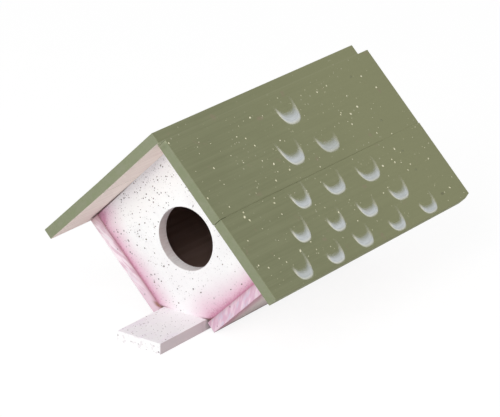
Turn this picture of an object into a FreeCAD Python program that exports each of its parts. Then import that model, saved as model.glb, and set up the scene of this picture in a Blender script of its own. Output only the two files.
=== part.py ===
import FreeCAD, Part
import math
import os

from FreeCAD import Vector

# Wooden birdhouse: a square box of boards stood on its corner. Two sides of the box are the roof, two are
# the lower walls, and a narrow floor closes the bottom corner and runs out in front as a landing perch.
# +Z is up, the entrance looks along -Y, and the origin is the middle of the floor's underside.
# All sizes are in millimetres.

# Panels: the square front and back that everything else is nailed to
panel_width = 89.8
panel_thick = 7.0
panel_recess = 0.3  # panels stand this far inside the ends of the walls
entrance_diameter = 38.1
foot_margin = 2.6  # the panels' flat foot is wider than the floor by this on each side

# Lower walls
wall_length = 150.0
wall_thick = 7.0
wall_lift = 0.2  # the walls' lower corners stay this far above the floor's underside

# Floor and perch, one plank
floor_width = 30.4
floor_thick = 6.9
perch_length = 43.2  # in front of the walls

# Roof: two boards to a slope, and the left slope laps over the right one at the ridge
roof_thick = 6.6
roof_board_width = 53.9
roof_seam = 0.15  # gap between the two boards of a slope
front_overhang = 31.9  # left boards in front of the walls
back_overhang = 16.8  # left boards behind the walls
right_setback = 5.9  # right boards start this far behind the left ones
right_tail = 10.2  # and end this far behind them
right_slip = 0.5  # lower right board lies this much further back than the upper one
left_eave_angle = 0.7  # degrees that the lower left board stands off the panels, opening a gap at the eave
chip_along = 6.0  # knocked corner at the back of the lower right board, along the eave
chip_up = 1.8  # and up the slope

edge_round = 0.35  # planed long edges of every board
end_bevel = 0.2  # sanded sawn ends, and the rim of the entrance

# Brads of flat wire with a narrow head and a chisel point, driven just under the surface
brad_length = 16.0
brad_width = 1.2
brad_gauge = 1.0
brad_head_width = 1.9
brad_head_height = 0.6
brad_tip = 1.5
brad_set = 0.1  # depth of the head below the surface
brad_fit = 0.05  # room round a brad in its hole
roof_brad_inset = 11.0  # from a roof board's long edge, or from the panel's corner
wall_brad_inset = 16.0  # from a wall's upper and lower edges
floor_brad_inset = 6.0  # from the floor's long edges
ridge_brad_inset = 12.0  # from the ends of the ridge joint
ridge_brad_count = 4

# Distances down a slope are counted from the ridge line, where the outer faces of the two slopes meet.
root_two = math.sqrt(2)
panel_start = roof_thick
panel_end = panel_start + panel_width
panel_middle = (panel_start + panel_end) / 2
wall_outer = panel_end + wall_thick
slope_end = 2 * roof_board_width + roof_seam

# Heights: the panels are cut off level where their foot is as wide as the floor and its margins.
floor_depth = root_two * panel_end - floor_width / 2 - foot_margin
ridge_height = floor_depth + floor_thick
foot_corner = root_two * floor_depth - panel_end
wall_end = root_two * (ridge_height - wall_lift) - wall_outer

# Places from front to back
floor_length = perch_length + wall_length
floor_front = -floor_length / 2
wall_front = floor_front + perch_length
wall_back = wall_front + wall_length
front_panel_start = wall_front + panel_recess
back_panel_start = wall_back - panel_recess - panel_thick
left_roof = (wall_front - front_overhang, wall_back + back_overhang)
right_roof = (left_roof[0] + right_setback, left_roof[1] + right_tail)
right_lower_roof = (right_roof[0] + right_slip, right_roof[1] + right_slip)

# Spans of the roof boards down their slopes; the right slope starts under the left one's edge.
thickness = (0, roof_thick)
left_upper = (0, roof_board_width)
left_lower = (roof_board_width + roof_seam, slope_end)
right_upper = (roof_thick + left_upper[0], roof_thick + left_upper[1])
right_lower = (roof_thick + left_lower[0], roof_thick + left_lower[1])
ridge_joint = (0, roof_thick)

# The box is drawn square: X runs down the left slope, Z down the right slope, and Y from front to back.
# This placement then turns it onto its corner, with the ridge on top.
on_corner = FreeCAD.Placement(Vector(0, 0, ridge_height), FreeCAD.Rotation(Vector(0, 1, 0), 135))


def board(across, depth, down, square_edge=None):
    """A board with rounded long edges and bevelled ends, from its spans in X, Y and Z.

    square_edge is the X and Z of a long edge that stays sharp, because it meets another board flush.
    """
    plank = Part.makeBox(
        across[1] - across[0],
        depth[1] - depth[0],
        down[1] - down[0],
        Vector(across[0], depth[0], down[0]),
    )
    middle = (depth[0] + depth[1]) / 2
    long_edges = [edge for edge in plank.Edges if abs(edge.CenterOfMass.y - middle) < edge_round]
    if square_edge:
        line = Vector(square_edge[0], middle, square_edge[1])
        long_edges = [edge for edge in long_edges if not edge.CenterOfMass.isEqual(line, edge_round)]
    plank = plank.makeFillet(edge_round, long_edges)
    half_length = (depth[1] - depth[0]) / 2
    end_edges = [edge for edge in plank.Edges if abs(edge.CenterOfMass.y - middle) > half_length - end_bevel]
    return plank.makeChamfer(end_bevel, end_edges)


def panel(start):
    """A square panel with its lower corner cut off level, so that it stands on the floor."""
    outline = [
        (panel_start, panel_start),
        (panel_end, panel_start),
        (panel_end, foot_corner),
        (foot_corner, panel_end),
        (panel_start, panel_end),
    ]
    points = [Vector(x, start, z) for x, z in outline]
    face = Part.Face(Part.makePolygon(points + points[:1]))
    return face.extrude(Vector(0, panel_thick, 0))


def brad(room=0.0):
    """A brad along +Z with its head at the surface, z = 0. With room, the hole that it is driven into."""
    head = brad_head_width / 2 + room
    shank = brad_width / 2 + room
    top = -brad_set if room else 0.0
    neck = brad_head_height + room
    tip = brad_length + room
    half = [(head, top), (head, neck), (shank, neck), (shank, tip - brad_tip)]
    outline = half + [(0, tip)] + [(-y, z) for y, z in reversed(half)]
    gauge = brad_gauge + 2 * room
    points = [Vector(-gauge / 2, y, z) for y, z in outline]
    return Part.Face(Part.makePolygon(points + points[:1])).extrude(Vector(gauge, 0, 0))


def driven(shape, surface, inward):
    """A copy of a brad or of its hole, set below a surface point and pointing inward."""
    turn = FreeCAD.Rotation(Vector(0, 0, 1), inward)
    copy = shape.copy()
    copy.Placement = FreeCAD.Placement(surface + inward * brad_set, turn)
    return copy


def brads(surface_points, inward):
    """The brads of one group, and the holes for them."""
    pins = [driven(brad(), point, inward) for point in surface_points]
    holes = [driven(brad(brad_fit), point, inward) for point in surface_points]
    return pins, holes


def drilled(shape, *groups):
    """A piece with the holes of the brads that pass into it."""
    for pins, holes in groups:
        shape = shape.cut(holes)
    return shape


def lifted(shape):
    """A copy turned out at the seam, as the lower left board and its brads stand off the panels."""
    copy = shape.copy()
    copy.rotate(Vector(left_lower[0], 0, roof_thick), Vector(0, 1, 0), left_eave_angle)
    return copy


down_left = Vector(1, 0, 0)
down_right = Vector(0, 0, 1)
up = Vector(0, 0, 1)

# Brads of the two slopes and walls pass each other in the panels' thickness.
left_row = panel_thick / 3
right_row = panel_thick - left_row
panel_starts = (front_panel_start, back_panel_start)

# Roof brads: two through each board into each panel
left_upper_spots = (panel_start + roof_brad_inset, left_upper[1] - roof_brad_inset)
left_lower_spots = (left_lower[0] + roof_brad_inset, panel_end - roof_brad_inset)
right_spots = (
    panel_start + roof_brad_inset,
    right_upper[1] - roof_brad_inset,
    right_lower[0] + roof_brad_inset,
    panel_end - roof_brad_inset,
)
left_upper_points = [Vector(x, start + left_row, 0) for start in panel_starts for x in left_upper_spots]
left_lower_points = [Vector(x, start + left_row, 0) for start in panel_starts for x in left_lower_spots]
right_points = [Vector(0, start + right_row, z) for start in panel_starts for z in right_spots]
left_upper_brads = brads(left_upper_points, down_right)
left_lower_brads = [[lifted(shape) for shape in shapes] for shapes in brads(left_lower_points, down_right)]
right_brads = brads(right_points, down_left)

# Ridge brads: through the left upper board into the edge of the right upper one
ridge_first = right_roof[0] + ridge_brad_inset
ridge_pitch = (left_roof[1] - ridge_brad_inset - ridge_first) / (ridge_brad_count - 1)
ridge_points = [Vector(roof_thick / 2, ridge_first + i * ridge_pitch, 0) for i in range(ridge_brad_count)]
ridge_brads = brads(ridge_points, down_right)

# Wall brads: through the walls into the panels' lower edges
wall_spots = (panel_start + wall_brad_inset, wall_end - wall_brad_inset)
left_wall_points = [Vector(wall_outer, start + left_row, z) for start in panel_starts for z in wall_spots]
right_wall_points = [Vector(x, start + right_row, wall_outer) for start in panel_starts for x in wall_spots]
left_wall_brads = brads(left_wall_points, -down_left)
right_wall_brads = brads(right_wall_points, -down_right)

# Floor brads: up through the floor into the panels' feet
floor_brad_x = floor_width / 2 - floor_brad_inset
floor_points = [
    Vector(x, start + panel_thick / 2, 0) for start in panel_starts for x in (-floor_brad_x, floor_brad_x)
]
floor_brads = brads(floor_points, up)

# Roof boards
roof_left_upper = board(left_upper, left_roof, thickness, ridge_joint)
roof_left_lower = lifted(board(left_lower, left_roof, thickness))
roof_right_upper = board(thickness, right_roof, right_upper, ridge_joint)
roof_right_lower = board(thickness, right_lower_roof, right_lower)

eave_corner = Vector(0, right_lower_roof[1], right_lower[1])
chip = Part.Face(
    Part.makePolygon(
        [
            eave_corner,
            eave_corner - Vector(0, chip_along, 0),
            eave_corner - Vector(0, 0, chip_up),
            eave_corner,
        ]
    )
).extrude(Vector(roof_thick, 0, 0))
roof_right_lower = roof_right_lower.cut(chip)

# Box
walls_depth = (wall_front, wall_back)
left_wall = board((panel_end, wall_outer), walls_depth, (panel_start, wall_end))
right_wall = board((panel_start, wall_end), walls_depth, (panel_end, wall_outer))
entrance = Part.makeCylinder(
    entrance_diameter / 2,
    panel_thick,
    Vector(panel_middle, front_panel_start, panel_middle),
    Vector(0, 1, 0),
)
front_panel = panel(front_panel_start).cut(entrance)
front_rim = [
    edge
    for edge in front_panel.Edges
    if edge.isClosed() and abs(edge.CenterOfMass.y - front_panel_start) < end_bevel
]
front_panel = front_panel.makeChamfer(end_bevel, front_rim)
back_panel = panel(back_panel_start)
panel_groups = (left_upper_brads, left_lower_brads, right_brads, left_wall_brads, right_wall_brads)

box_pieces = {
    "front_panel": drilled(front_panel, *panel_groups),
    "back_panel": drilled(back_panel, *panel_groups),
    "left_wall": drilled(left_wall, left_wall_brads),
    "right_wall": drilled(right_wall, right_wall_brads),
    "roof_left_upper": drilled(roof_left_upper, left_upper_brads, ridge_brads),
    "roof_left_lower": drilled(roof_left_lower, left_lower_brads),
    "roof_right_upper": drilled(roof_right_upper, right_brads, ridge_brads),
    "roof_right_lower": drilled(roof_right_lower, right_brads),
    "roof_left_brads": Part.makeCompound(left_upper_brads[0] + left_lower_brads[0]),
    "roof_right_brads": Part.makeCompound(right_brads[0]),
    "ridge_brads": Part.makeCompound(ridge_brads[0]),
    "left_wall_brads": Part.makeCompound(left_wall_brads[0]),
    "right_wall_brads": Part.makeCompound(right_wall_brads[0]),
}
pieces = {}
for name, shape in box_pieces.items():
    shape.Placement = on_corner.multiply(shape.Placement)
    pieces[name] = shape

# The panels' feet are drilled once they stand on the floor.
for name in ("front_panel", "back_panel"):
    pieces[name] = drilled(pieces[name], floor_brads)

half_floor = floor_width / 2
floor = board((-half_floor, half_floor), (floor_front, floor_front + floor_length), (0, floor_thick))
pieces["floor_perch"] = drilled(floor, floor_brads)
pieces["floor_brads"] = Part.makeCompound(floor_brads[0])

os.makedirs("parts", exist_ok=True)
for name, shape in pieces.items():
    shape.exportStep("parts/" + name + ".step")
    box = shape.BoundBox
    state = "valid" if shape.isValid() else "NOT valid"
    size = f"{box.XLength:.1f} x {box.YLength:.1f} x {box.ZLength:.1f} mm"
    print(f"{name}: {len(shape.Solids)} solids, {state}, {size}")
print(f"ridge {ridge_height:.3f} mm up, entrance {ridge_height - root_two * panel_middle:.3f} mm up")
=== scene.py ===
import math
import random
from types import SimpleNamespace

import bmesh
import bpy
from mathutils import Matrix, Vector


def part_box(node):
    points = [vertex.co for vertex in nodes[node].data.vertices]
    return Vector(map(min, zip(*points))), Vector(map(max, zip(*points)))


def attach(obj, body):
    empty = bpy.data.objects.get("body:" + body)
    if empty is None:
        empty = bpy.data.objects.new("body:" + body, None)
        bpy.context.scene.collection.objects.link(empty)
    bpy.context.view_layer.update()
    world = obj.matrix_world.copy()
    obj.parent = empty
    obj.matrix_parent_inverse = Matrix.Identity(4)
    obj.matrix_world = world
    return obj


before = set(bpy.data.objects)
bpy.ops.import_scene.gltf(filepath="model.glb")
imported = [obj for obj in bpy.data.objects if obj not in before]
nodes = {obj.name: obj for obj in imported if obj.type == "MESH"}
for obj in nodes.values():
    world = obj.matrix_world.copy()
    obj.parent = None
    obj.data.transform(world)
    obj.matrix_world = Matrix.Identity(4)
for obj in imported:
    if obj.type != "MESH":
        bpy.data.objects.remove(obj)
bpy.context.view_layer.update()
print("frame loaded:", len(nodes), "nodes")

rootTwo = math.sqrt(2)
mm = 0.001

# the right slope's outer face is the plane x + z = ridgeHeight, the left one's is z - x = ridgeHeight
ridgeHeight = max(v.co.x + v.co.z for v in nodes["roof_right_upper"].data.vertices)


def slopeSpan(name, side):  # nearest and furthest distance of a piece down a slope; side 1 right, -1 left
    spots = [(ridgeHeight - v.co.z + side * v.co.x) / rootTwo for v in nodes[name].data.vertices]
    return min(spots), max(spots)


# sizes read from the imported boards, in millimetres for the materials
panelStart, panelEnd = (edge / mm for edge in slopeSpan("front_panel", 1))
wallOuter = slopeSpan("right_wall", 1)[1] / mm
seamDown = {1: slopeSpan("roof_right_upper", 1)[1] / mm, -1: slopeSpan("roof_left_upper", -1)[1] / mm}
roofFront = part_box("roof_left_upper")[0].y / mm
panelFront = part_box("front_panel")[0].y / mm
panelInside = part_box("front_panel")[1].y / mm
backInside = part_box("back_panel")[0].y / mm
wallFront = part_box("right_wall")[0].y / mm
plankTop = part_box("floor_perch")[1].z / mm
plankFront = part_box("floor_perch")[0].y / mm
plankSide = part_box("floor_perch")[1].x / mm


class Sock:  # one socket of a material; sums on it become Math nodes
    def __init__(self, tree, end):
        self.tree = tree
        self.end = end

    def node(self, kind, settings=None, values=None, out=0):
        made = self.tree.nodes.new("ShaderNode" + kind)
        for key, value in (settings or {}).items():
            setattr(made, key, value)
        for key, value in (values or {}).items():
            if isinstance(value, Sock):
                self.tree.links.new(value.end, made.inputs[key])
            else:
                made.inputs[key].default_value = value
        return Sock(self.tree, made.outputs[out])

    def maths(self, operation, first, second=0.0):
        return self.node("Math", {"operation": operation}, {0: first, 1: second})

    def __add__(self, other):
        return self.maths("ADD", self, other)

    def __sub__(self, other):
        return self.maths("SUBTRACT", self, other)

    def __rsub__(self, other):
        return self.maths("SUBTRACT", other, self)

    def __mul__(self, other):
        return self.maths("MULTIPLY", self, other)

    def __truediv__(self, other):
        return self.maths("DIVIDE", self, other)

    def __lt__(self, other):
        return self.maths("LESS_THAN", self, other)

    def __gt__(self, other):
        return self.maths("GREATER_THAN", self, other)

    def __neg__(self):
        return self.maths("MULTIPLY", self, -1.0)

    def __abs__(self):
        return self.maths("ABSOLUTE", self)

    __radd__ = __add__
    __rmul__ = __mul__


def rgb(*levels):  # screen colour levels from 0 to 255, as a linear colour
    parts = [level / 255 for level in levels]
    linear = [p / 12.92 if p <= 0.04045 else ((p + 0.055) / 1.055) ** 2.4 for p in parts]
    return (*linear, 1.0)


def ease(value, low, high):  # 0 at low, 1 at high, smooth between; low may be the larger
    spans = {"Value": value, "From Min": low, "From Max": high}
    return value.node("MapRange", {"interpolation_type": "SMOOTHSTEP"}, spans, "Result")


def mix(mask, first, second):
    return mask.node("Mix", {"data_type": "RGBA"}, {0: mask, 6: first, 7: second}, 2)


def stretch(place, sizes):  # a place counted in features of these sizes, in millimetres
    factors = tuple(1 / size for size in sizes)
    return place.node("VectorMath", {"operation": "MULTIPLY"}, {0: place, 1: factors})


def noise(place, sizes, detail=3.0):
    values = {"Vector": stretch(place, sizes), "Scale": 1.0, "Detail": detail}
    return place.node("TexNoise", None, values, "Fac")


def specks(place, spacing, radius, sparing=0.0):  # round dots of mixed sizes; sparing leaves cells empty
    values = {"Vector": stretch(place, (spacing,) * 3), "Scale": 1.0}
    cells = place.node("TexVoronoi", {"voronoi_dimensions": "3D"}, values, "Distance")
    pick = Sock(place.tree, cells.end.node.outputs["Color"])
    chance = pick.node("SeparateColor", None, {0: pick}, 0)
    reach = ease(chance, sparing, 1.0) * (radius / spacing)
    soft = 0.12 * radius / spacing
    return ease(cells - reach, soft, -soft)


def startPaint(name):  # a new material, its shader, and where on the house a point lies, in millimetres
    material = bpy.data.materials.new(name)
    material.use_nodes = True
    tree = material.node_tree
    shader = tree.nodes["Principled BSDF"]
    objectPlace = Sock(tree, tree.nodes.new("ShaderNodeTexCoord").outputs["Object"])
    place = objectPlace.node("VectorMath", {"operation": "SCALE"}, {0: objectPlace, "Scale": 1 / mm})
    x, y, z = (place.node("SeparateXYZ", None, {0: place}, axis) for axis in range(3))
    drop = ridgeHeight / mm - z
    downLeft = (drop - x) / rootTwo
    downRight = (drop + x) / rootTwo
    boards = place.node("CombineXYZ", None, {0: downLeft, 1: y, 2: downRight})
    normal = Sock(tree, tree.nodes.new("ShaderNodeNewGeometry").outputs["Normal"])
    nx, ny, nz = (normal.node("SeparateXYZ", None, {0: normal}, axis) for axis in range(3))
    at = SimpleNamespace(x=x, y=y, z=z, nx=nx, ny=ny, nz=nz, downLeft=downLeft, downRight=downRight)
    at.place = place
    at.boards = boards
    at.endFace = ease(abs(ny), 0.6, 0.8)
    return material, shader, at


# relief is the bump's depth in millimetres; matt paint reflects less than the shader's own 0.5
def finishPaint(shader, colour, roughness, height, relief, specular=0.3):
    tree = shader.id_data
    bump = colour.node("Bump", None, {"Strength": 1.0, "Distance": relief * mm, "Height": height}, "Normal")
    tree.links.new(colour.end, shader.inputs["Base Color"])
    tree.links.new(roughness.end, shader.inputs["Roughness"])
    tree.links.new(bump.end, shader.inputs["Normal"])
    shader.inputs["Specular IOR Level"].default_value = specular


# bare softwood inside the box
rawWood = {"pale": rgb(177, 149, 138), "dark": rgb(165, 137, 126), "ring": (2.5, 90, 2.5)}


def bareWood(at):
    rings = noise(at.boards, rawWood["ring"], 4.0)
    return mix(ease(rings, 0.35, 0.65), rawWood["dark"], rawWood["pale"])


# matt green roof paint over grain, with a pale pink wash on the undersides of the overhangs
roofPaint = {
    "green": rgb(143, 146, 113),
    "deepGreen": rgb(133, 136, 103),
    "backGreen": rgb(153, 155, 117),  # lighter green towards the back
    "backDepths": (-60.0, 130.0),  # the depths between which it turns lighter, and how ragged that is
    "raggedness": 40.0,
    "endGreen": rgb(131, 138, 108),
    "endGrey": rgb(137, 141, 116),
    "ridgeLitGreen": rgb(186, 190, 160),  # painted light: pale green that lifts the shade in the ridge's joint, in front of the right board
    "ridgeLightEdge": (1.8, 0.8),  # where it ends on the left board's underside
    "ridgeLightSlope": 0.85,  # it runs off slantwise, towards the right board
    "ridgeLightReach": 2.6,  # how far it covers the right board's end
    "cream": rgb(214, 212, 186),
    "mist": (2.6, 0.5, 0.35),  # cream dots: spacing, radius and sparing
    "pinkBlot": rgb(161, 139, 122),
    "wash": rgb(253, 239, 231),
    "washStreak": rgb(240, 223, 216),
    "fleck": rgb(92, 90, 72),  # one dark fleck near the right eave
    "fleckPlace": (102.0, 105.5),  # depth and distance down the right slope
    "fleckSquares": (3.4, 1.1),  # squares of its half length and half width
    "jointReach": (0.6, 0.1),  # how far from the ridge's joint its paint ends, and is full
    "grain": (2.2, 120, 2.2),
    "fineGrain": (0.7, 46, 0.7),
    "sawMarks": (1.1, 26, 1.1),
    "clouds": (30, 30, 30),
    "blots": (9, 9, 9),
    "endClouds": (5, 5, 5),
    "endMottle": (1.2, 1.2, 1.2),
    "relief": 0.06,
    "roughness": 0.62,
}


def roofEnds(at, side):  # the boards' sawn ends
    mottle = noise(at.place, roofPaint["endMottle"], 2.0)
    cloud = noise(at.boards, roofPaint["endClouds"], 3.0) * 0.6 + mottle * 0.4
    ends = mix(ease(cloud, 0.35, 0.65), roofPaint["endGreen"], roofPaint["endGrey"])
    if side > 0:
        # painted light on the right board's end next to the ridge's joint, where the left board shades it
        ridgeLitEnd = ease(at.downRight - panelStart, roofPaint["ridgeLightReach"], 0.2) * (at.y < panelFront)
        ends = mix(ridgeLitEnd * 0.6, ends, roofPaint["ridgeLitGreen"])
    return ends


def roofUnderside(at, down):  # washed where it hangs over, bare inside the box
    saw = noise(at.boards, roofPaint["sawMarks"], 3.0)
    wash = mix(ease(saw, 0.4, 0.7), roofPaint["wash"], roofPaint["washStreak"])
    boxed = (at.y > panelInside) * (at.y < backInside) * (down < panelEnd)
    under = mix(boxed, wash, bareWood(at))
    # painted light on the left board's underside in front of the right board, where it lies in shade
    ridgeLightLine = down - (at.y - roofFront) * roofPaint["ridgeLightSlope"]
    ridgeLitUnder = ease(ridgeLightLine, *roofPaint["ridgeLightEdge"]) * (down < panelStart)
    return mix(ridgeLitUnder, under, roofPaint["ridgeLitGreen"])


def makeRoofPaint(name, side):  # side 1 is the right slope, -1 the left one
    material, shader, at = startPaint(name)
    onRight = at.downLeft < 1.0  # the right slope's outer face
    grain = noise(at.boards, roofPaint["grain"], 4.0)
    fineGrain = noise(at.boards, roofPaint["fineGrain"], 3.0)
    cloud = noise(at.place, roofPaint["clouds"], 2.0)
    shade = grain * 0.4 + fineGrain * 0.3 + cloud * 0.3
    paint = mix(ease(shade, 0.34, 0.66), roofPaint["deepGreen"], roofPaint["green"])
    # the green turns lighter towards the back
    thin = ease(at.y + grain * roofPaint["raggedness"], *roofPaint["backDepths"])
    paint = mix(thin * 0.8, paint, roofPaint["backGreen"])
    blots = ease(noise(at.place, roofPaint["blots"], 2.0), 0.66, 0.80)
    paint = mix(blots * 0.5, paint, roofPaint["pinkBlot"])
    ridgeJoint = ease(abs(at.downRight - panelStart), *roofPaint["jointReach"]) * onRight
    paint = mix(ridgeJoint * 0.05, paint, roofPaint["cream"])
    paint = mix(at.endFace, paint, roofEnds(at, side))
    mist = specks(at.place, *roofPaint["mist"]) * ease(cloud, 0.40, 0.62) * (1 - at.endFace)
    paint = mix(mist * 0.55, paint, roofPaint["cream"])

    along = at.y - roofPaint["fleckPlace"][0]
    below = at.downRight - roofPaint["fleckPlace"][1]
    longSquare, wideSquare = roofPaint["fleckSquares"]
    fleck = ease(along * along / longSquare + below * below / wideSquare, 1.3, 0.2) * onRight
    paint = mix(fleck * 0.4, paint, roofPaint["fleck"])

    down = at.downRight if side > 0 else at.downLeft
    inward = ease(-at.nz, 0.4, 0.6) * (at.nx * side < 0.0)
    colour = mix(inward, paint, roofUnderside(at, down))
    roughness = roofPaint["roughness"] + fineGrain * 0.14
    finishPaint(shader, colour, roughness, grain * 0.7 + fineGrain * 0.5 + mist * 0.5, roofPaint["relief"])
    return material


# white panels with dark mist and specks, and pink sprayed along the lower edges
panelPaint = {
    "white": rgb(249, 251, 251),
    "greyWhite": rgb(243, 244, 245),
    "lowWhite": rgb(242, 240, 241),  # below the entrance
    "lowHeights": (56.0, 30.0),  # it begins at the first height, and is full at the second
    "overhangLitWhite": rgb(254, 255, 255),  # painted light: whiter in a stretch below the left slope, lifting the shade of the overhang
    "topReach": (24.0, 14.0),  # how far below that slope it ends, and is still full
    "topFrom": (1.0, 7.0),  # how far below it begins, and is full
    "shade": rgb(208, 196, 220),  # right below the left slope
    "shadeReach": 12.0,
    "shadeFrom": (8.0, 36.0),  # how far down that slope it begins, and is full
    "pink": rgb(220, 160, 189),
    "deepPink": rgb(196, 128, 158),
    "bandWidth": 16.0,
    "bandEnd": (4.0, 30.0),  # from the lower end of an edge: where its pink ends, and is still full
    "cornerReach": 26.0,  # the pink is widest over this much of the edge below the left eave
    "speck": rgb(94, 86, 88),
    "fine": (1.2, 0.34, 0.15),  # each kind of speck: spacing, radius and sparing
    "medium": (2.7, 0.5, 0.35),
    "haze": (0.8, 0.26, 0.1),
    "flecks": (2.0, 0.46, 0.3),
    "fleckReach": (44.0, 20.0),  # down the right slope: where the flecks end, and are densest
    "leftHalf": (24.0, -10.0),  # across: where the medium specks are fewest, and densest
    "edgeLine": rgb(138, 88, 102),  # the joints with the walls
    "darkJointAndShade": rgb(80, 46, 38),  # dark open joints, deepened with painted shade in the corners and along the plank
    "roofGap": (54.0, 84.0),  # down the left slope: where the joint below it opens, and is widest
    "plankGap": (8.0, 16.0),  # the same from the plank's middle outwards
    "boreWhite": rgb(253, 251, 252),
    "boreGrey": rgb(222, 214, 217),
    "boreLeftTone": rgb(231, 212, 210),  # darker round the bore's left side
    "boreLeftFrom": (-8.0, -19.0),  # across: where it begins, and is darkest
    "sawMarks": (2.4, 7.0, 0.8),
    "clouds": (18, 18, 18),
    "patches": (9, 9, 9),
    "brush": (0.8, 0.8, 14),
    "wander": (20, 20, 20),
    "spray": (0.8, 0.8, 0.8),
    "relief": 0.06,
    "roughness": 0.6,
}


def pinkBand(at, edgeDistance, alongEdge, spread):  # strongest at the edge, gone a band's width away from it
    wander = noise(at.place, panelPaint["wander"], 2.0)
    spray = noise(at.place, panelPaint["spray"], 2.0)
    width = (0.7 + wander * 0.6) * panelPaint["bandWidth"] * spread
    near = 1 - edgeDistance / width
    near = near.maths("MAXIMUM", near, 0.0)
    fade = near.maths("POWER", near, 1.8) * (0.8 + spray * 0.4)
    gone, full = panelPaint["bandEnd"]
    return fade * ease(alongEdge, panelEnd - gone, panelEnd - full)


def sprayPink(at, paint):
    corner = ease(at.fromTop, panelPaint["cornerReach"], 0.0)
    leftBand = pinkBand(at, at.fromLeft, at.downRight, 1 + corner * 0.3)
    leftBand = leftBand * (1 - corner * 0.2 + ease(at.fromTop, 11.0, 2.0) * 0.6)
    foot = ease(at.downLeft, panelEnd * 0.4, panelEnd * 0.7)
    rightBand = pinkBand(at, at.fromRight, at.downLeft, 1.12 + foot * 0.3)
    band = leftBand.maths("MAXIMUM", leftBand, rightBand)
    pinkTone = mix(ease(band, 0.6, 1.0), panelPaint["pink"], panelPaint["deepPink"])
    return mix(band.maths("MINIMUM", band, 1.0), paint, pinkTone)


def panelSpecks(at):  # densest below the left slope and on the left half
    patchy = ease(noise(at.place, panelPaint["patches"], 2.0), 0.66, 0.40)
    fine = specks(at.place, *panelPaint["fine"]) * patchy * (0.45 + at.upperLeft * 0.55)
    leftHalf = ease(at.x, *panelPaint["leftHalf"])
    medium = specks(at.place, *panelPaint["medium"]) * (0.35 + leftHalf * 0.65)
    haze = specks(at.place, *panelPaint["haze"]) * (0.08 + at.upperLeft * 0.34)
    flecks = specks(at.place, *panelPaint["flecks"]) * ease(at.downRight, *panelPaint["fleckReach"])
    dots = fine.maths("MAXIMUM", fine * 0.85 + haze, medium * 0.7)
    dots = dots.maths("MAXIMUM", dots, flecks * 0.95)
    return dots.maths("MINIMUM", dots, 1.0)


def drawJoints(at, paint):
    wallJoint = at.fromLeft.maths("MINIMUM", at.fromLeft, at.fromRight)
    paint = mix(ease(wallJoint, 1.0, 0.3) * 0.15, paint, panelPaint["edgeLine"])
    # dark joints, with painted shade in the corners where the panel meets the roof, the walls and the plank
    gap = ease(at.fromTop, 0.8, 0.2) * ease(at.downLeft, *panelPaint["roofGap"])
    gap = gap + ease(at.fromTop + at.fromLeft, 6.0, 0.0) * 0.6
    gap = gap + ease(at.fromRight + at.fromPlank, 4.5, 0.5)
    gap = gap + ease(at.fromPlank, 1.3, 0.3) * ease(abs(at.x), *panelPaint["plankGap"]) * 0.6
    return mix(gap.maths("MINIMUM", gap, 1.0) * 0.85, paint, panelPaint["darkJointAndShade"])


def borePaint(at):
    sawMarks = noise(at.place, panelPaint["sawMarks"], 3.0)
    leftSide = ease(at.x, *panelPaint["boreLeftFrom"])
    tone = mix(ease(sawMarks, 0.42, 0.66) * 0.45, panelPaint["boreWhite"], panelPaint["boreGrey"])
    return mix(leftSide * (0.4 + sawMarks * 0.6), tone, panelPaint["boreLeftTone"])


def makePanelPaint():
    material, shader, at = startPaint("panelPaint")
    at.fromLeft = panelEnd - at.downLeft  # from the left wall
    at.fromRight = panelEnd - at.downRight  # from the right wall
    at.fromTop = at.downRight - panelStart  # from the left slope
    at.fromPlank = at.z - plankTop
    at.upperLeft = ease(at.fromTop, panelPaint["shadeReach"], 0.0)
    at.upperLeft = at.upperLeft * ease(at.downLeft, *panelPaint["shadeFrom"])
    cloud = noise(at.place, panelPaint["clouds"], 3.0)
    brush = noise(at.boards, panelPaint["brush"], 3.0)
    paint = mix(ease(cloud * 0.7 + brush * 0.3, 0.35, 0.6), panelPaint["greyWhite"], panelPaint["white"])
    paint = mix(ease(at.z, *panelPaint["lowHeights"]) * 0.6, paint, panelPaint["lowWhite"])
    # painted light below the left slope, lifting the shade of the roof's overhang
    overhangLight = ease(at.fromTop, *panelPaint["topReach"]) * ease(at.fromTop, *panelPaint["topFrom"])
    paint = mix(overhangLight, paint, panelPaint["overhangLitWhite"])
    paint = sprayPink(at, paint)
    paint = mix(at.upperLeft * 0.2, paint, panelPaint["shade"])
    dots = panelSpecks(at)
    paint = mix(dots, paint, panelPaint["speck"])
    paint = drawJoints(at, paint)
    paint = mix(ease(abs(at.ny), 0.6, 0.3), paint, borePaint(at))
    inner = ease(-at.ny * at.y, 1.0, 2.0)
    colour = mix(inner, paint, bareWood(at))
    roughness = panelPaint["roughness"] + brush * 0.15
    finishPaint(shader, colour, roughness, brush * 0.6 + cloud * 0.4 + dots * 0.4, panelPaint["relief"])
    return material


# the plank: the panels' white with a breath of mauve, with painted light towards the panel and painted shade
# on the sides
plankPaint = {
    "white": rgb(253, 251, 254),
    "mauve": rgb(249, 240, 251),
    "whiterFrom": 10.0,  # behind the front end, the white gets more towards the panel: painted light, lifting the shade under the roof
    "endWhite": rgb(251, 251, 251),
    "endGrey": rgb(236, 232, 234),
    # painted shade: the sides darker than the top
    "side": rgb(224, 212, 215),
    # painted light: the sides lighter close to the walls, lifting the shade in the corner there
    "sideLitNearWall": rgb(248, 234, 238),
    "sideLightReach": 3.5,
    "speck": rgb(126, 114, 120),
    "fine": (1.8, 0.36, 0.25),  # each kind of speck: spacing, radius and sparing
    "medium": (3.6, 0.55, 0.35),
    "clouds": (16, 24, 16),
    "grain": (1.4, 40, 1.4),
    "blotches": (3, 3, 2),
    "relief": 0.08,
    "roughness": 0.6,
}


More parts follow.
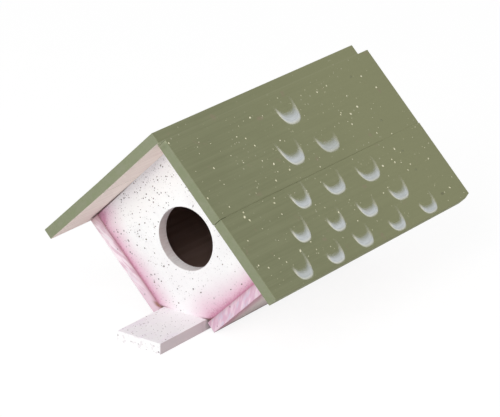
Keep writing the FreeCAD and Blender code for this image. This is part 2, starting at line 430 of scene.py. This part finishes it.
def makePlankPaint():
    material, shader, at = startPaint("plankPaint")
    cloud = noise(at.place, plankPaint["clouds"], 3.0)
    grain = noise(at.place, plankPaint["grain"], 3.0)
    # painted light: whiter towards the panel, where the roof shades the plank
    underRoofLight = ease(at.y, plankFront + plankPaint["whiterFrom"], panelFront)
    tone = ease(cloud * 0.6 + grain * 0.4 + underRoofLight * 0.2, 0.38, 0.62)
    paint = mix(tone, plankPaint["mauve"], plankPaint["white"])
    blotch = ease(noise(at.place, plankPaint["blotches"], 3.0), 0.52, 0.66)
    paint = mix(at.endFace, paint, mix(blotch, plankPaint["endWhite"], plankPaint["endGrey"]))
    # painted shade on the sides, with painted light close to the walls
    sideLight = ease(at.y, wallFront - plankPaint["sideLightReach"], wallFront)
    sides = mix(sideLight, plankPaint["side"], plankPaint["sideLitNearWall"])
    paint = mix(ease(abs(at.nx), 0.6, 0.8), paint, sides)
    fine = specks(at.place, *plankPaint["fine"])
    medium = specks(at.place, *plankPaint["medium"])
    dots = fine.maths("MAXIMUM", fine * 0.6, medium * 0.8) * ease(abs(at.nx), 0.6, 0.4)
    paint = mix(dots, paint, plankPaint["speck"])
    boxed = (at.y > panelInside) * (at.y < backInside) * ease(at.nz, 0.4, 0.6)
    colour = mix(boxed, paint, bareWood(at))
    roughness = plankPaint["roughness"] + grain * 0.15
    finishPaint(shader, colour, roughness, grain * 0.8 + dots * 0.4, plankPaint["relief"])
    return material


# walls: thin pink wash, the growth rings showing on the sawn ends, and painted shade along their lowest edges
# and their joints with the panel
wallPaint = {
    "outer": rgb(244, 232, 227),
    "outerPink": rgb(200, 146, 162),
    "pinkReach": 26.0,  # how far the pink runs back along the outer face
    "lowEdgeShade": rgb(110, 84, 86),  # painted shade along the outer face's lowest edge
    "lowShadeReach": (4.2, 0.6),  # where it begins above that edge, and where it is full
    # darker near the roof
    "nearRoofTone": rgb(190, 146, 150),
    "topReach": 7.0,
    "panelJointShade": rgb(176, 120, 140),  # painted shade along the joint with the panel
    "jointShadeReach": 5.0,
    "footBrown": rgb(150, 104, 84),  # brown in the corner with the panel and the plank
    "cornerReach": (3.6, 0.6),  # from the panel: where that brown ends, and is full
    "cornerAbove": (2.6, 0.9),  # the same above the plank's top
    "cornerBelow": (-1.6, -0.2),  # and below it
    "roofLine": (0.9, 0.3),  # from the roof: where the dark line of the joint ends, and is full
    "footHeights": (26.0, 6.0),  # the ends turn pink between these heights
    "specks": (4.0, 0.5, 0.4),  # spacing, radius and sparing
    "rings": (1.6, 10, 40),
    "wideRings": (2.3, 9, 40),
    "grain": (1.2, 40, 1.2),
    "patches": (7, 7, 7),
    "relief": 0.08,
    "roughness": 0.64,
}
endPaint = {  # the sawn ends: which way the rings cross them, colours, and how strong the dark marks and painted shade are
    "left_wall": {
        "side": -1,
        "across": (0.96, 0.28),
        "blush": rgb(249, 235, 242),
        "pinkRing": rgb(226, 196, 210),
        "lilacRing": rgb(240, 234, 240),
        "foot": 0.75,
        "footBrown": 0.9,
        "panelJointShade": 0.9,
        "roofLine": 0.7,
    },
    "right_wall": {
        "side": 1,
        "across": (-0.55, 0.84),
        "blush": rgb(232, 209, 221),
        "pinkRing": rgb(217, 179, 200),
        "lilacRing": rgb(213, 201, 217),
        "foot": 0.0,
        "footBrown": 0.0,
        "panelJointShade": 0.6,
        "roofLine": 0.2,
    },
}


def wallEnds(at, tones, rings, ring, patch):
    ends = mix(ease(ring * 0.7 + patch * 0.3, 0.42, 0.60), tones["blush"], tones["pinkRing"])
    wideRing = noise(rings, wallPaint["wideRings"], 2.0)
    ends = mix(ease(wideRing, 0.54, 0.66) * 0.8, ends, tones["lilacRing"])
    ends = mix(ease(at.z, *wallPaint["footHeights"]) * tones["foot"], ends, tones["pinkRing"])
    fromRoof = at.far - panelStart
    ends = mix(ease(fromRoof, wallPaint["topReach"], 0.0) * 0.6, ends, wallPaint["nearRoofTone"])
    fromPanel = (at.downRight if tones["side"] > 0 else at.downLeft) - panelEnd
    # painted shade on the end, close to the joint with the panel
    near = 1 - fromPanel / wallPaint["jointShadeReach"]
    near = near.maths("POWER", near.maths("MAXIMUM", near, 0.0), 3.0)
    ends = mix(near.maths("MINIMUM", near, 1.0) * tones["panelJointShade"], ends, wallPaint["panelJointShade"])
    ends = mix(ease(fromRoof, *wallPaint["roofLine"]) * tones["roofLine"], ends, panelPaint["darkJointAndShade"])
    fromPlank = at.z - plankTop
    footCorner = ease(fromPanel, *wallPaint["cornerReach"]) * ease(fromPlank, *wallPaint["cornerAbove"])
    footCorner = footCorner * ease(fromPlank, *wallPaint["cornerBelow"])
    return mix(footCorner * tones["footBrown"], ends, wallPaint["footBrown"])


def makeWallPaint(name):
    material, shader, at = startPaint(name + "Paint")
    tones = endPaint[name]
    perLeft, perRight = tones["across"]
    across = at.downLeft * perLeft + at.downRight * perRight
    along = at.downLeft * perRight - at.downRight * perLeft
    rings = across.node("CombineXYZ", None, {0: across, 1: along, 2: at.y})
    ring = noise(rings, wallPaint["rings"], 2.0)
    grain = noise(at.boards, wallPaint["grain"], 3.0)
    patch = noise(at.place, wallPaint["patches"], 2.0)
    at.far = at.downLeft if tones["side"] > 0 else at.downRight  # along the wall, away from the roof
    fromFoot = slopeSpan(name, -tones["side"])[1] / mm - at.far
    fromFront = at.y - wallFront
    tint = ease(fromFront / (wallPaint["pinkReach"] * (0.6 + patch * 0.8)), 1.0, 0.0)
    sides = mix(tint, wallPaint["outer"], wallPaint["outerPink"])
    # painted shade along the lowest edge of the outer face
    sides = mix(ease(fromFoot, *wallPaint["lowShadeReach"]) * 0.95, sides, wallPaint["lowEdgeShade"])
    sides = mix(ease(grain, 0.45, 0.7) * 0.35, sides, tones["lilacRing"])
    paint = mix(at.endFace, sides, wallEnds(at, tones, rings, ring, patch))
    paint = mix(specks(at.place, *wallPaint["specks"]) * 0.6, paint, panelPaint["speck"])
    inner = ease(at.nz, 0.4, 0.6) * (at.nx * at.x < 0.0)
    colour = mix(inner, paint, bareWood(at))
    roughness = wallPaint["roughness"] + grain * 0.15
    finishPaint(shader, colour, roughness, ring * 0.5 + grain * 0.5, wallPaint["relief"])
    return material


# brads: bright steel wire, the heads painted over with the board they hold
bradSteel = {
    "steel": rgb(176, 176, 178),
    "dull": rgb(140, 139, 138),
    "drawMarks": (0.6, 0.6, 0.6),
    "paintDepth": 0.75,  # the paint over a head reaches this far down
    "relief": 0.02,
    "specular": 0.5,
    "roughness": 0.34,
}


def wallHead(at):  # the wall's tint over a brad's head: pink in front, pale behind
    inFront = ease(at.y - wallFront, wallPaint["pinkReach"], 0.0)
    return mix(inFront, wallPaint["outer"], wallPaint["outerPink"])


def makeBradSteel(name, depth, paint):  # depth gives how far a point lies below the board's face
    material, shader, at = startPaint(name)
    if callable(paint):
        paint = paint(at)
    draw = noise(at.place, bradSteel["drawMarks"], 2.0)
    steel = mix(ease(draw, 0.4, 0.65), bradSteel["dull"], bradSteel["steel"])
    covered = ease(depth(at), bradSteel["paintDepth"], bradSteel["paintDepth"] - 0.1)
    colour = mix(covered, steel, paint)
    roughness = bradSteel["roughness"] + covered * 0.3 + draw * 0.1
    finishPaint(shader, colour, roughness, draw, bradSteel["relief"], bradSteel["specular"])
    bare = 1 - covered
    material.node_tree.links.new(bare.end, shader.inputs["Metallic"])
    return material


def paintNode(name, material):
    mesh = nodes[name].data
    mesh.materials.clear()
    mesh.materials.append(material)


slopePaint = {}
for slope, side in (("left", -1), ("right", 1)):
    slopePaint[side] = makeRoofPaint(slope + "RoofPaint", side)
    paintNode("roof_" + slope + "_upper", slopePaint[side])
    paintNode("roof_" + slope + "_lower", slopePaint[side])
panelMaterial = makePanelPaint()
for name in ("front_panel", "back_panel"):
    paintNode(name, panelMaterial)
paintNode("floor_perch", makePlankPaint())
for name in endPaint:
    paintNode(name, makeWallPaint(name))
bradGroups = {  # how deep a point of a brad lies below its board's face, and that board's paint
    "roof_left_brads": (lambda at: at.downRight, roofPaint["green"]),
    "ridge_brads": (lambda at: at.downRight, roofPaint["green"]),
    "roof_right_brads": (lambda at: at.downLeft, roofPaint["green"]),
    "left_wall_brads": (lambda at: wallOuter - at.downLeft, wallHead),
    "right_wall_brads": (lambda at: wallOuter - at.downRight, wallHead),
    "floor_brads": (lambda at: at.z, plankPaint["white"]),
}
for name, (depth, paint) in bradGroups.items():
    paintNode(name, makeBradSteel(name + "_steel", depth, paint))
print("boards and brads painted")


roofFaces = {}  # middle and normal of each roof board's outer face, found once


def outerFace(name, outward):
    if name not in roofFaces:
        faces = [p for p in nodes[name].data.polygons if p.normal.dot(outward) > 0.9]
        widest = max(faces, key=lambda p: p.area)
        roofFaces[name] = (widest.center.copy(), widest.normal.copy())
    return roofFaces[name]


def slopeFrame(side, depth, down):  # on the right slope: X to the back, Y up the slope, Z out of the board
    outward = Vector((side, 0, 1)).normalized()
    slope = "right_" if side > 0 else "left_"
    part = "upper" if down < seamDown[side] else "lower"
    middle, normal = outerFace("roof_" + slope + part, outward)
    spot = Vector((side * down / rootTwo * mm, depth * mm, ridgeHeight - down / rootTwo * mm))
    spot += outward * ((middle - spot).dot(normal) / outward.dot(normal))
    along = Vector((0, side, 0))
    turn = Matrix((along, normal.cross(along), normal)).transposed().to_4x4()
    return Matrix.Translation(spot) @ turn


def mirrored(side, down):  # the left slope starts higher, so what matches the right one lies higher too
    return down if side > 0 else down - panelStart


def newPiece(name, bm, material, smooth=True):
    mesh = bpy.data.meshes.new(name)
    bm.to_mesh(mesh)
    bm.free()
    mesh.materials.append(material)
    piece = bpy.data.objects.new(name, mesh)
    bpy.context.scene.collection.objects.link(piece)
    for polygon in mesh.polygons:
        polygon.use_smooth = smooth
    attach(piece, "root")
    return piece


# crescent brush strokes in five rows, like shingles, each listed; all in millimetres
strokes = {
    "places": [  # depth, distance down the slope, width, rise of both arms, height of the paint, and its load
        (25.5, 29.9, 19.5, 16.5, 17.0, 11.2, 1.05),
        (7.0, 52.4, 19.5, 20.5, 15.5, 9.8, 1.06), (40.0, 54.4, 19.5, 15.5, 11.5, 10.0, 0.80),
        (-10.0, 77.0, 17.0, 14.5, 16.5, 8.4, 1.05), (22.5, 78.4, 19.0, 13.0, 15.0, 8.4, 0.98),
        (56.0, 80.4, 20.5, 15.0, 14.5, 7.6, 0.98),
        (-27.5, 94.2, 16.0, 13.0, 16.0, 8.9, 1.06), (4.0, 97.8, 15.5, 13.0, 14.5, 8.7, 1.07),
        (35.5, 98.8, 17.5, 14.5, 11.5, 8.5, 1.02), (69.0, 98.3, 18.0, 12.0, 14.5, 8.2, 1.0),
        (-44.5, 113.2, 17.0, 12.5, 18.5, 9.2, 0.92), (-13.5, 113.7, 16.5, 10.0, 14.0, 8.6, 1.04),
        (16.5, 113.1, 17.0, 13.5, 13.5, 9.8, 1.0), (50.5, 113.8, 16.0, 10.5, 15.5, 7.9, 1.04),
        (84.5, 113.4, 17.0, 11.0, 13.5, 7.4, 1.04),
    ],
    "fullness": 2.8,  # 2 is an ellipse, more is squarer
    "armWidth": 2.8,
    "lean": 0.03,  # the most that a stroke leans along the roof, for its height
    "film": 0.12,  # how high the paint stands along the outer edge
    "flattening": 0.7,  # the share of that lost at the inner edge
    "sunk": 0.25,  # thickness of the film, most of it below the board's face
    "stepsAlong": 26,
    "stepsAcross": 6,
    "seed": 4,
    "rim": rgb(240, 241, 227),
    "milk": rgb(227, 232, 235),
    "thin": rgb(207, 212, 213),
    "arm": rgb(243, 240, 220),
    "reach": 1.02,  # the height of the paint, soft edge included, over the heights given above
    "bristles": (0.7, 0.7, 0.7),
    "hairs": (5, 16, 30),  # streaks along a stroke and across it, and depth from one pattern to the next
    "relief": 0.12,
    "roughness": 0.5,
}


def addStroke(bm, place, width, rises, belly, load, lean):
    loads = bm.verts.layers.float["load"]
    made = bmesh.ops.create_grid(
        bm, x_segments=strokes["stepsAlong"], y_segments=strokes["stepsAcross"], size=0.5, calc_uvs=True
    )
    for vert in made["verts"]:
        along = vert.co.x * 2
        across = vert.co.y + 0.5
        swing = abs(along) * math.pi / 2
        height = rises[0] if along < 0 else rises[1]
        reach = math.copysign(math.sin(swing) ** (2 / strokes["fullness"]), along)
        rise = (1 - max(math.cos(swing), 0.0) ** (2 / strokes["fullness"])) * height
        outer = Vector((reach * width / 2, rise, 0))
        inner = Vector((reach * (width / 2 - strokes["armWidth"]), belly + rise * (1 - belly / height), 0))
        spot = outer.lerp(inner, across)
        spot.x += lean * spot.y
        spot.z = strokes["film"] * (1 - strokes["flattening"] * across)
        vert.co = place @ (spot * mm)
        vert[loads] = load


def makeStrokePaint():
    material, shader, at = startPaint("strokePaint")
    tree = material.node_tree
    brushPlace = Sock(tree, tree.nodes.new("ShaderNodeUVMap").outputs["UV"])
    along = brushPlace.node("SeparateXYZ", None, {0: brushPlace}, 0)
    across = brushPlace.node("SeparateXYZ", None, {0: brushPlace}, 1)
    load = brushPlace.node("Attribute", {"attribute_name": "load"}, None, "Fac")
    bristles = noise(at.boards, strokes["bristles"], 2.0)
    perLength, perWidth, apart = strokes["hairs"]
    hair = along.node("CombineXYZ", None, {0: along * perLength, 1: across * perWidth, 2: at.y / apart})
    streak = hair.node("TexNoise", None, {"Vector": hair, "Scale": 1.0, "Detail": 2.0}, "Fac")
    body = mix(ease(streak, 0.35, 0.65), strokes["thin"], strokes["milk"])
    colour = mix(ease(across, 0.26, 0.05) * ease(along, 0.85, 0.55), body, strokes["rim"])
    frontArm, backArm = ease(along, 0.28, 0.12), ease(along, 0.70, 0.86)
    colour = mix((frontArm + backArm) * 0.75, colour, strokes["arm"])
    edge = ease(across, -0.03, 0.15)
    fade = ease(across + streak * 0.3 - 0.15, 0.87, 0.33)
    tips = ease(along, 0.01, 0.17) * ease(along, 1.06, 0.60)
    cover = edge * fade * tips * load * (0.82 + bristles * 0.28)
    tree.links.new(cover.maths("MINIMUM", cover, 1.0).end, shader.inputs["Alpha"])
    finishPaint(shader, colour, strokes["roughness"] + bristles * 0.2, streak, strokes["relief"])
    return material


def makeStrokes():
    draw = random.Random(strokes["seed"])
    bm = bmesh.new()
    bm.loops.layers.uv.new("brush")
    bm.verts.layers.float.new("load")
    for side in (1, -1):
        for depth, down, width, front, back, belly, load in strokes["places"]:
            place = slopeFrame(side, depth, mirrored(side, down))
            rises = (front, back) if side > 0 else (back, front)
            lean = draw.uniform(-strokes["lean"], strokes["lean"])
            addStroke(bm, place, width, rises, belly * strokes["reach"], load, lean)
    piece = newPiece("roof_strokes", bm, makeStrokePaint())
    film = piece.modifiers.new("film", "SOLIDIFY")
    film.thickness = strokes["sunk"] * mm
    film.offset = -1.0
    piece.visible_shadow = False  # where the film is thin, the board below stays as bright as around it
    piece.visible_diffuse = False
    print("brush strokes laid:", len(piece.data.polygons), "faces")


makeStrokes()

# paint that has run into the seams between the boards and bridges most of their length
seamFill = {
    "width": 1.1,
    "height": 0.3,
    "segments": 12,
    "inset": 0.4,  # how far a run stays short of the boards' ends
    "flush": 0.03,  # how far the paint has sunk where it nearly fills a joint
    "right": [  # first and last depth, and how far the paint has sunk below the face
        (-73.5, -28.0, 0.21), (-28.0, 6.0, 0.25), (6.0, 62.0, 0.22), (62.0, 84.0, 0.18), (84.0, 122.6, 0.1),
    ],
    "left": [(-84.8, 113.0, 0.03)],  # the same for the left slope
}


def addBead(bm, first, last, outward, sunk):  # a flat rounded strip of paint, its top this far below a face
    along = last - first
    turn = Matrix((outward.cross(along).normalized(), outward, along.normalized())).transposed().to_4x4()
    middle = (first + last) / 2 - outward * (sunk + seamFill["height"] / 2) * mm
    size = Matrix.Diagonal((seamFill["width"], seamFill["height"], 1, 1))
    bmesh.ops.create_cone(
        bm, cap_ends=True, segments=seamFill["segments"], radius1=0.5 * mm, radius2=0.5 * mm,
        depth=along.length, matrix=Matrix.Translation(middle) @ turn @ size,
    )


def ridgeJointSpot(down):  # on the right board's front end, this far down the left board's underside
    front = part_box("roof_right_upper")[0].y
    x = (panelStart - down) / rootTwo * mm
    return Vector((x, front, ridgeHeight - (panelStart + down) / rootTwo * mm))


def makeSeamPaint(side, slope):
    bm = bmesh.new()
    forward = Vector((0, -1, 0))
    inset, flush = seamFill["inset"], seamFill["flush"]
    upper, lower = ("roof_" + slope + part for part in ("_upper", "_lower"))
    down = (slopeSpan(upper, side)[1] + slopeSpan(lower, side)[0]) / 2 / mm
    for first, last, sunk in seamFill[slope]:
        start = slopeFrame(side, first, down)
        addBead(bm, start.translation, slopeFrame(side, last, down).translation, start.col[2].to_3d(), sunk)
    if slope == "right":  # paint also fills the front of the joint at the ridge
        addBead(bm, ridgeJointSpot(inset), ridgeJointSpot(panelStart), forward, flush)
    if slope == "left":  # its paint also runs down the boards' front ends and along their undersides
        front = slopeFrame(side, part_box(upper)[0].y / mm, down)
        outward = front.col[2].to_3d()
        thick = outward * (panelStart * mm)
        edge = outward * (inset * mm)
        addBead(bm, front.translation - edge, front.translation - thick + edge, forward, flush)
        under = front.translation - thick
        stop = under.copy()
        under.y += inset * mm
        stop.y = panelFront * mm
        addBead(bm, under, stop, -outward, flush)
    piece = newPiece(slope + "_seam_paint", bm, slopePaint[side], smooth=False)
    print(slope, "seam painted:", len(piece.data.polygons), "faces")


makeSeamPaint(1, "right")
makeSeamPaint(-1, "left")

# paint spattered off a brush: low round drops, the small ones scattered and the large ones listed
spatter = {
    "cream": rgb(255, 251, 220),
    "creamDull": rgb(236, 233, 198),
    "patches": (9, 9, 9),  # where the cream is duller
    "small": (0.3, 0.75),  # least and greatest width of the scattered drops
    "smallCount": 190,  # for each slope
    "height": 0.22,
    "smallHeight": 0.6,  # of the height above
    "roofEdge": 3.0,  # the scattered drops keep this far from the edges
    "seed": 11,
    "large": [  # depth, distance down the right slope, diameter
        (-78.2, 9.2, 1.1), (-58.5, 32.8, 1.1), (-77.5, 46.7, 1.0), (-66.5, 56.3, 0.8), (-59.3, 62.6, 1.2),
        (-60.7, 65.3, 1.7), (-58.7, 68.1, 1.3), (-70.0, 78.0, 0.9), (-74.5, 93.0, 1.1), (-68.5, 96.7, 1.1),
        (-56.5, 94.8, 0.9), (-53.0, 98.5, 1.0), (-37.5, 96.5, 1.6), (-25.5, 94.7, 0.9), (-32.3, 65.6, 1.4),
        (-30.0, 63.0, 0.9), (-32.5, 73.2, 0.9), (-20.5, 25.0, 1.1), (-26.3, 22.0, 0.9), (-17.5, 31.0, 1.0),
        (-6.5, 15.0, 1.4), (-12.8, 45.3, 1.4), (-19.7, 54.5, 1.2), (-4.0, 52.3, 1.3), (-19.8, 40.8, 0.9),
        (4.0, 34.5, 1.0), (10.5, 87.0, 1.5), (20.5, 96.5, 0.9), (20.5, 58.5, 0.9), (58.5, 17.7, 1.1),
        (69.5, 16.5, 1.1), (80.0, 27.2, 1.0), (66.0, 35.0, 1.1), (64.7, 36.0, 0.9), (73.2, 38.0, 1.6),
        (82.5, 35.8, 1.5), (68.5, 44.0, 1.2), (83.3, 55.2, 1.3), (95.0, 59.5, 0.9), (88.5, 68.5, 1.3),
        (69.8, 74.5, 1.6), (80.5, 73.4, 1.1), (81.3, 75.8, 1.4), (92.8, 81.0, 1.1), (87.5, 83.5, 1.1),
        (55.3, 89.0, 1.0), (103.0, 20.0, 1.1), (109.0, 30.0, 1.3), (110.5, 83.0, 1.2), (111.5, 104.5, 1.3),
    ],
}
panelSpatter = {
    "dark": rgb(92, 84, 86),
    "brown": rgb(128, 112, 108),
    "patches": (6, 6, 6),  # where the dark is browner
    "size": (0.3, 0.7),  # least and greatest width of the scattered drops
    "panelCount": 90,
    "plankCount": 50,
    "edge": 4.0,  # the scattered drops keep this far from the panel's sides,
    "footEdge": 3.0,  # this far from its foot,
    "holeRadius": 20.5,  # outside this circle round the entrance,
    "plankEdges": (1.5, 2.0),  # and this far from the plank's sides and ends
    "thinnerFrom": 4.0,  # to the right of this only a share of them is kept
    "thinnerShare": 0.3,
    "height": 0.1,
    "seed": 23,
    "large": [  # across, height, diameter
        (-33.0, 53.5, 1.1), (-23.0, 69.5, 1.0), (-23.0, 71.6, 0.8), (-23.5, 79.0, 0.8), (-16.5, 92.5, 0.9),
        (-10.0, 88.0, 0.8), (-20.5, 85.5, 0.8), (-23.0, 83.3, 0.7), (-32.0, 76.3, 0.8), (-37.0, 77.7, 0.8),
        (-17.5, 76.5, 0.9), (-15.8, 67.8, 0.8), (-29.0, 55.3, 0.8), (-21.5, 55.0, 0.8), (-33.0, 46.0, 1.0),
        (-28.0, 45.5, 1.0), (-48.5, 45.0, 0.9), (-41.0, 41.8, 0.9), (-34.5, 40.3, 0.9), (-29.0, 39.8, 0.9),
        (-22.0, 38.5, 0.8), (-39.5, 34.8, 0.9), (-15.2, 32.0, 1.1), (-11.7, 33.8, 0.9), (-17.0, 22.3, 0.9),
        (-22.0, 20.5, 1.1), (5.8, 23.3, 1.1), (11.2, 22.5, 0.9), (-4.5, 12.0, 0.9), (22.5, 47.3, 1.0),
        (26.0, 43.5, 0.9), (39.5, 34.8, 0.9), (32.0, 29.7, 0.8),
    ],
}


def mostlySmall(draw, sizes):  # a size between two limits, seldom near the larger one
    return sizes[0] + (sizes[1] - sizes[0]) * draw.random() ** 2


# every drop: its length and breadth over its width, how finely it is built, and its surface
drops = {
    "length": (1.0, 1.35),
    "breadth": (0.8, 1.0),
    "around": 8,
    "upward": 4,
    "relief": 0.03,
    "specular": 0.35,
    "roughness": 0.45,
}
dropShape = bpy.data.meshes.new("drop")  # takes each drop's shape in turn, on its way to the piece


def addDrop(bm, place, width, height, draw):
    turn = Matrix.Rotation(draw.uniform(0, math.pi), 4, "Z")
    length = width * draw.uniform(*drops["length"])
    breadth = width * draw.uniform(*drops["breadth"])
    size = Matrix.Diagonal((length, breadth, 2 * height, 1))
    drop = bmesh.new()
    bmesh.ops.create_uvsphere(
        drop, u_segments=drops["around"], v_segments=drops["upward"], radius=0.5 * mm,
        matrix=place @ turn @ size,
    )
    drop.to_mesh(dropShape)
    drop.free()
    bm.from_mesh(dropShape)


def makeDropPaint(name, first, second, patches):
    material, shader, at = startPaint(name)
    patch = noise(at.place, patches, 2.0)
    colour = mix(ease(patch, 0.4, 0.6), first, second)
    finishPaint(shader, colour, drops["roughness"] + patch * 0.2, patch, drops["relief"], drops["specular"])
    return material


def makeRoofSpatter():
    draw = random.Random(spatter["seed"])
    bm = bmesh.new()
    for side, board in ((1, "roof_right_"), (-1, "roof_left_")):
        low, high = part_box(board + "upper")
        first = low.y / mm + spatter["roofEdge"]
        last = high.y / mm - spatter["roofEdge"]
        eave = slopeSpan(board + "lower", side)[1] / mm - spatter["roofEdge"]
        for count in range(spatter["smallCount"]):
            depth = draw.uniform(first, last)
            down = draw.uniform(spatter["roofEdge"] + mirrored(side, panelStart), eave)
            width = mostlySmall(draw, spatter["small"])
            height = spatter["height"] * spatter["smallHeight"]
            addDrop(bm, slopeFrame(side, depth, down), width, height, draw)
        for depth, down, width in spatter["large"]:
            addDrop(bm, slopeFrame(side, depth, mirrored(side, down)), width, spatter["height"], draw)
    paint = makeDropPaint("creamDrops", spatter["creamDull"], spatter["cream"], spatter["patches"])
    piece = newPiece("roof_spatter", bm, paint)
    print("roof spatter:", len(piece.data.polygons), "faces")


def makePanelSpatter():
    draw = random.Random(panelSpatter["seed"])
    bm = bmesh.new()
    nearest, furthest = panelStart + panelSpatter["edge"], panelEnd - panelSpatter["edge"]
    holeDown = (panelStart + panelEnd) / 2  # the entrance's middle, down either slope
    faceOn = Matrix.Rotation(math.pi / 2, 4, "X")
    spots = list(panelSpatter["large"])
    while len(spots) < len(panelSpatter["large"]) + panelSpatter["panelCount"]:
        left = draw.uniform(nearest, furthest)
        right = draw.uniform(nearest, furthest)
        x = (right - left) / rootTwo
        z = ridgeHeight / mm - (left + right) / rootTwo
        clear = math.hypot(left - holeDown, right - holeDown) > panelSpatter["holeRadius"]
        share = 1.0 if x < panelSpatter["thinnerFrom"] else panelSpatter["thinnerShare"]
        if clear and z > plankTop + panelSpatter["footEdge"] and draw.random() < share:
            spots.append((x, z, mostlySmall(draw, panelSpatter["size"])))
    for x, z, width in spots:
        place = Matrix.Translation(Vector((x, panelFront, z)) * mm)
        addDrop(bm, place @ faceOn, width, panelSpatter["height"], draw)
    sideEdge, endEdge = panelSpatter["plankEdges"]
    for count in range(panelSpatter["plankCount"]):
        x = draw.uniform(-plankSide + sideEdge, plankSide - sideEdge)
        y = draw.uniform(plankFront + endEdge, panelFront - endEdge)
        place = Matrix.Translation(Vector((x, y, plankTop)) * mm)
        addDrop(bm, place, mostlySmall(draw, panelSpatter["size"]), panelSpatter["height"], draw)
    paint = makeDropPaint("darkDrops", panelSpatter["dark"], panelSpatter["brown"], panelSpatter["patches"])
    piece = newPiece("panel_spatter", bm, paint)
    print("panel spatter:", len(piece.data.polygons), "faces")


makeRoofSpatter()
makePanelSpatter()
bpy.data.meshes.remove(dropShape)

# studio: a pale floor, even light all round, and two soft lamps in front, one low and one high
studio = {
    "floorSize": 6.0,
    "floorBounce": 0.85,  # how much light the floor gives back to the house
    "floorSeen": 0.20,  # how much of its own shading it shows
    "floorGlow": 0.87,
    "ambient": 0.51,
    "aim": (0.0, 0.0, 0.05),  # what the lamps point at
    "frontLamp": {"place": (0.0, -1.7, 0.13), "size": 0.6, "power": 6.2},
    "highLamp": {"place": (0.25, -1.28, 0.98), "size": 1.0, "power": 9.5},
}


def seenDirectly(tree):  # 1 for the camera's own rays, mirrored and see-through ones included
    path = tree.nodes.new("ShaderNodeLightPath")
    camera, glossy, through = (
        Sock(tree, path.outputs[name]) for name in ("Is Camera Ray", "Is Glossy Ray", "Is Transmission Ray")
    )
    seen = camera + glossy + through
    return seen.maths("MINIMUM", seen, 1.0)


def makeFloor():
    material = bpy.data.materials.new("studioFloor")
    material.use_nodes = True
    tree = material.node_tree
    tree.nodes.remove(tree.nodes["Principled BSDF"])
    seen = seenDirectly(tree)
    bounce = (studio["floorBounce"],) * 3 + (1.0,)
    shown = (studio["floorSeen"],) * 3 + (1.0,)
    matt = seen.node("BsdfDiffuse", None, {"Color": mix(seen, bounce, shown)})
    glow = seen.node("Emission", None, {"Strength": seen * studio["floorGlow"]})
    both = seen.node("AddShader", None, {0: matt, 1: glow})
    tree.links.new(both.end, tree.nodes["Material Output"].inputs["Surface"])
    bm = bmesh.new()
    bmesh.ops.create_grid(bm, x_segments=1, y_segments=1, size=studio["floorSize"] / 2)
    mesh = bpy.data.meshes.new("studio_floor")
    bm.to_mesh(mesh)
    bm.free()
    mesh.materials.append(material)
    floor = bpy.data.objects.new("studio_floor", mesh)
    bpy.context.scene.collection.objects.link(floor)


def makeWorld():
    world = bpy.data.worlds.new("studioRoom")
    world.use_nodes = True
    tree = world.node_tree
    seen = seenDirectly(tree)
    strength = seen + (1 - seen) * studio["ambient"]
    sky = tree.nodes["Background"]
    sky.inputs["Color"].default_value = (1.0, 1.0, 1.0, 1.0)
    tree.links.new(strength.end, sky.inputs["Strength"])
    bpy.context.scene.world = world


def addLamp(name):
    settings = studio[name]
    lamp = bpy.data.lights.new(name, "AREA")
    lamp.shape = "DISK"
    lamp.size = settings["size"]
    lamp.energy = settings["power"]
    holder = bpy.data.objects.new(name, lamp)
    holder.location = settings["place"]
    aim = Vector(studio["aim"]) - holder.location
    holder.rotation_euler = aim.to_track_quat("-Z", "Y").to_euler()
    bpy.context.scene.collection.objects.link(holder)


makeFloor()
makeWorld()
for name in ("frontLamp", "highLamp"):
    addLamp(name)

# camera at the photograph's angle: to the right of the entrance, above it, from a long way off
viewpoint = {
    "target": (0.00566, 0.00188, 0.05557),
    "azimuth": 35.102,
    "elevation": 21.165,
    "roll": 0.964,
    "distance": 1.74125,
    "lens": 216.34,
    "sensor": 36.0,
    "clipEnd": 20.0,
}


def makeCamera():
    azimuth = math.radians(viewpoint["azimuth"])
    elevation = math.radians(viewpoint["elevation"])
    level = math.cos(elevation)
    back = Vector((math.sin(azimuth) * level, -math.cos(azimuth) * level, math.sin(elevation)))
    camera = bpy.data.cameras.new("photoCamera")
    camera.lens = viewpoint["lens"]
    camera.sensor_width = viewpoint["sensor"]
    camera.sensor_fit = "HORIZONTAL"
    camera.clip_end = viewpoint["clipEnd"]
    holder = bpy.data.objects.new("photoCamera", camera)
    spot = Matrix.Translation(Vector(viewpoint["target"]) + back * viewpoint["distance"])
    turn = (-back).to_track_quat("-Z", "Y").to_matrix().to_4x4()
    holder.matrix_world = spot @ turn @ Matrix.Rotation(math.radians(viewpoint["roll"]), 4, "Z")
    bpy.context.scene.collection.objects.link(holder)
    bpy.context.scene.camera = holder


makeCamera()
bpy.context.scene.view_settings.view_transform = "Standard"
print("studio and camera ready")
